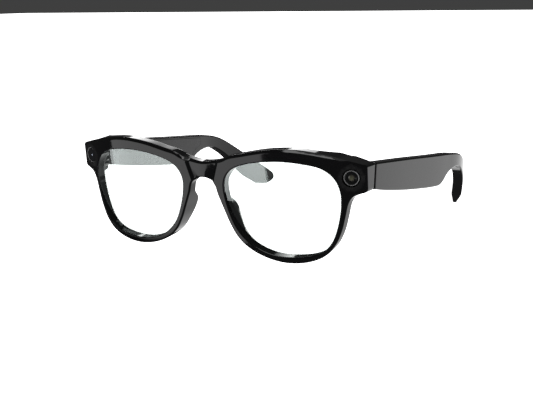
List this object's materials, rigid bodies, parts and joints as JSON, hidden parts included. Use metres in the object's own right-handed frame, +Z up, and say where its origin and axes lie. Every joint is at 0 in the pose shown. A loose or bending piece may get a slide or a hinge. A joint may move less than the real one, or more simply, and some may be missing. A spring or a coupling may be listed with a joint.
{
  "type": "smart glasses",
  "caption": "Black smart glasses with clear lenses, a round camera window, a round indicator window, folding temples, a capture button and a power switch.",
  "frame": {"origin": "centre of the glasses' bounding box, on the surface that the rims and temple tips stand on", "axes": "+X the wearer's left, +Y from the front back to the ears, +Z up"},
  "size_m": [0.147, 0.1547, 0.0483],
  "materials": {
    "frame_plastic": "polished black",
    "temple_plastic": "polished black",
    "inner_plastic": "polished black, faintly duller than the shell",
    "lens_clear": "clear with a faint green coating",
    "dark_glass": "black tinted",
    "camera_glass": "coated",
    "trim_metal": "dark grey satin",
    "black_matte": "matte black",
    "button_plastic": "polished black",
    "switch_plastic": "satin black with grip ribs",
    "circuit_board": "solder mask green",
    "led_white": "white",
    "flex_film": "amber polyimide",
    "speaker_plastic": "dark grey",
    "contact_gold": "gold plated",
    "grille_metal": "black, punched",
    "battery_foil": "foil pouch",
    "hinge_steel": "satin"
  },
  "bodies": {
    "front": {"front_frame": "frame_plastic", "lens_left": "lens_clear", "lens_right": "lens_clear", "camera_window": "dark_glass", "camera_trim_ring": "trim_metal", "camera_barrel": "black_matte", "camera_lens_element": "camera_glass", "camera_sensor_board": "circuit_board", "led_window": "dark_glass", "led_trim_ring": "trim_metal", "indicator_led": "led_white", "led_board": "circuit_board", "brow_flex_cable": "flex_film", "bridge_microphone": "speaker_plastic", "charging_contacts": "contact_gold", "front_hinge_leaf_left": "hinge_steel", "front_hinge_leaf_right": "hinge_steel", "front_leaf_screws_left": "hinge_steel", "front_leaf_screws_right": "hinge_steel", "hinge_pin_left": "hinge_steel", "hinge_pin_right": "hinge_steel"},
    "temple_left": {"temple_shell_left": "temple_plastic", "temple_cover_left": "inner_plastic", "temple_hinge_leaf_left": "hinge_steel", "leaf_screws_left": "hinge_steel", "temple_flex_left": "flex_film", "speaker_left": "speaker_plastic", "speaker_grille_left": "grille_metal", "temple_microphone_left": "hinge_steel", "main_board": "circuit_board", "shield_can": "hinge_steel", "switch_base": "black_matte"},
    "temple_right": {"temple_shell_right": "temple_plastic", "temple_cover_right": "inner_plastic", "temple_hinge_leaf_right": "hinge_steel", "leaf_screws_right": "hinge_steel", "temple_flex_right": "flex_film", "speaker_right": "speaker_plastic", "speaker_grille_right": "grille_metal", "temple_microphone_right": "hinge_steel", "battery": "battery_foil", "touch_sensor": "flex_film", "button_dome": "hinge_steel", "button_board": "circuit_board"},
    "switch_slider": {"power_switch": "switch_plastic"},
    "button": {"capture_button": "button_plastic"}
  },
  "joints": [
    {"name": "left_temple_fold", "type": "hinge", "parent": "front", "child": "temple_left", "pos_m": [0.0656, -0.0581, 0.037], "axis": [0, 0.1037, 0.9946], "range_deg": [0, 88]},
    {"name": "right_temple_fold", "type": "hinge", "parent": "front", "child": "temple_right", "pos_m": [-0.0656, -0.0581, 0.037], "axis": [0, -0.1037, -0.9946], "range_deg": [0, 68]},
    {"name": "capture_button_press", "type": "slide", "parent": "temple_right", "child": "button", "axis": [0, -0.1037, -0.9946], "range_m": [0, 0.0004], "stiffness_N_per_m": 1000, "springref_m": -0.001},
    {"name": "power_switch_slide", "type": "slide", "parent": "temple_left", "child": "switch_slider", "axis": [0, 0.9946, -0.1037], "range_m": [0, 0.0022]}
  ]
}
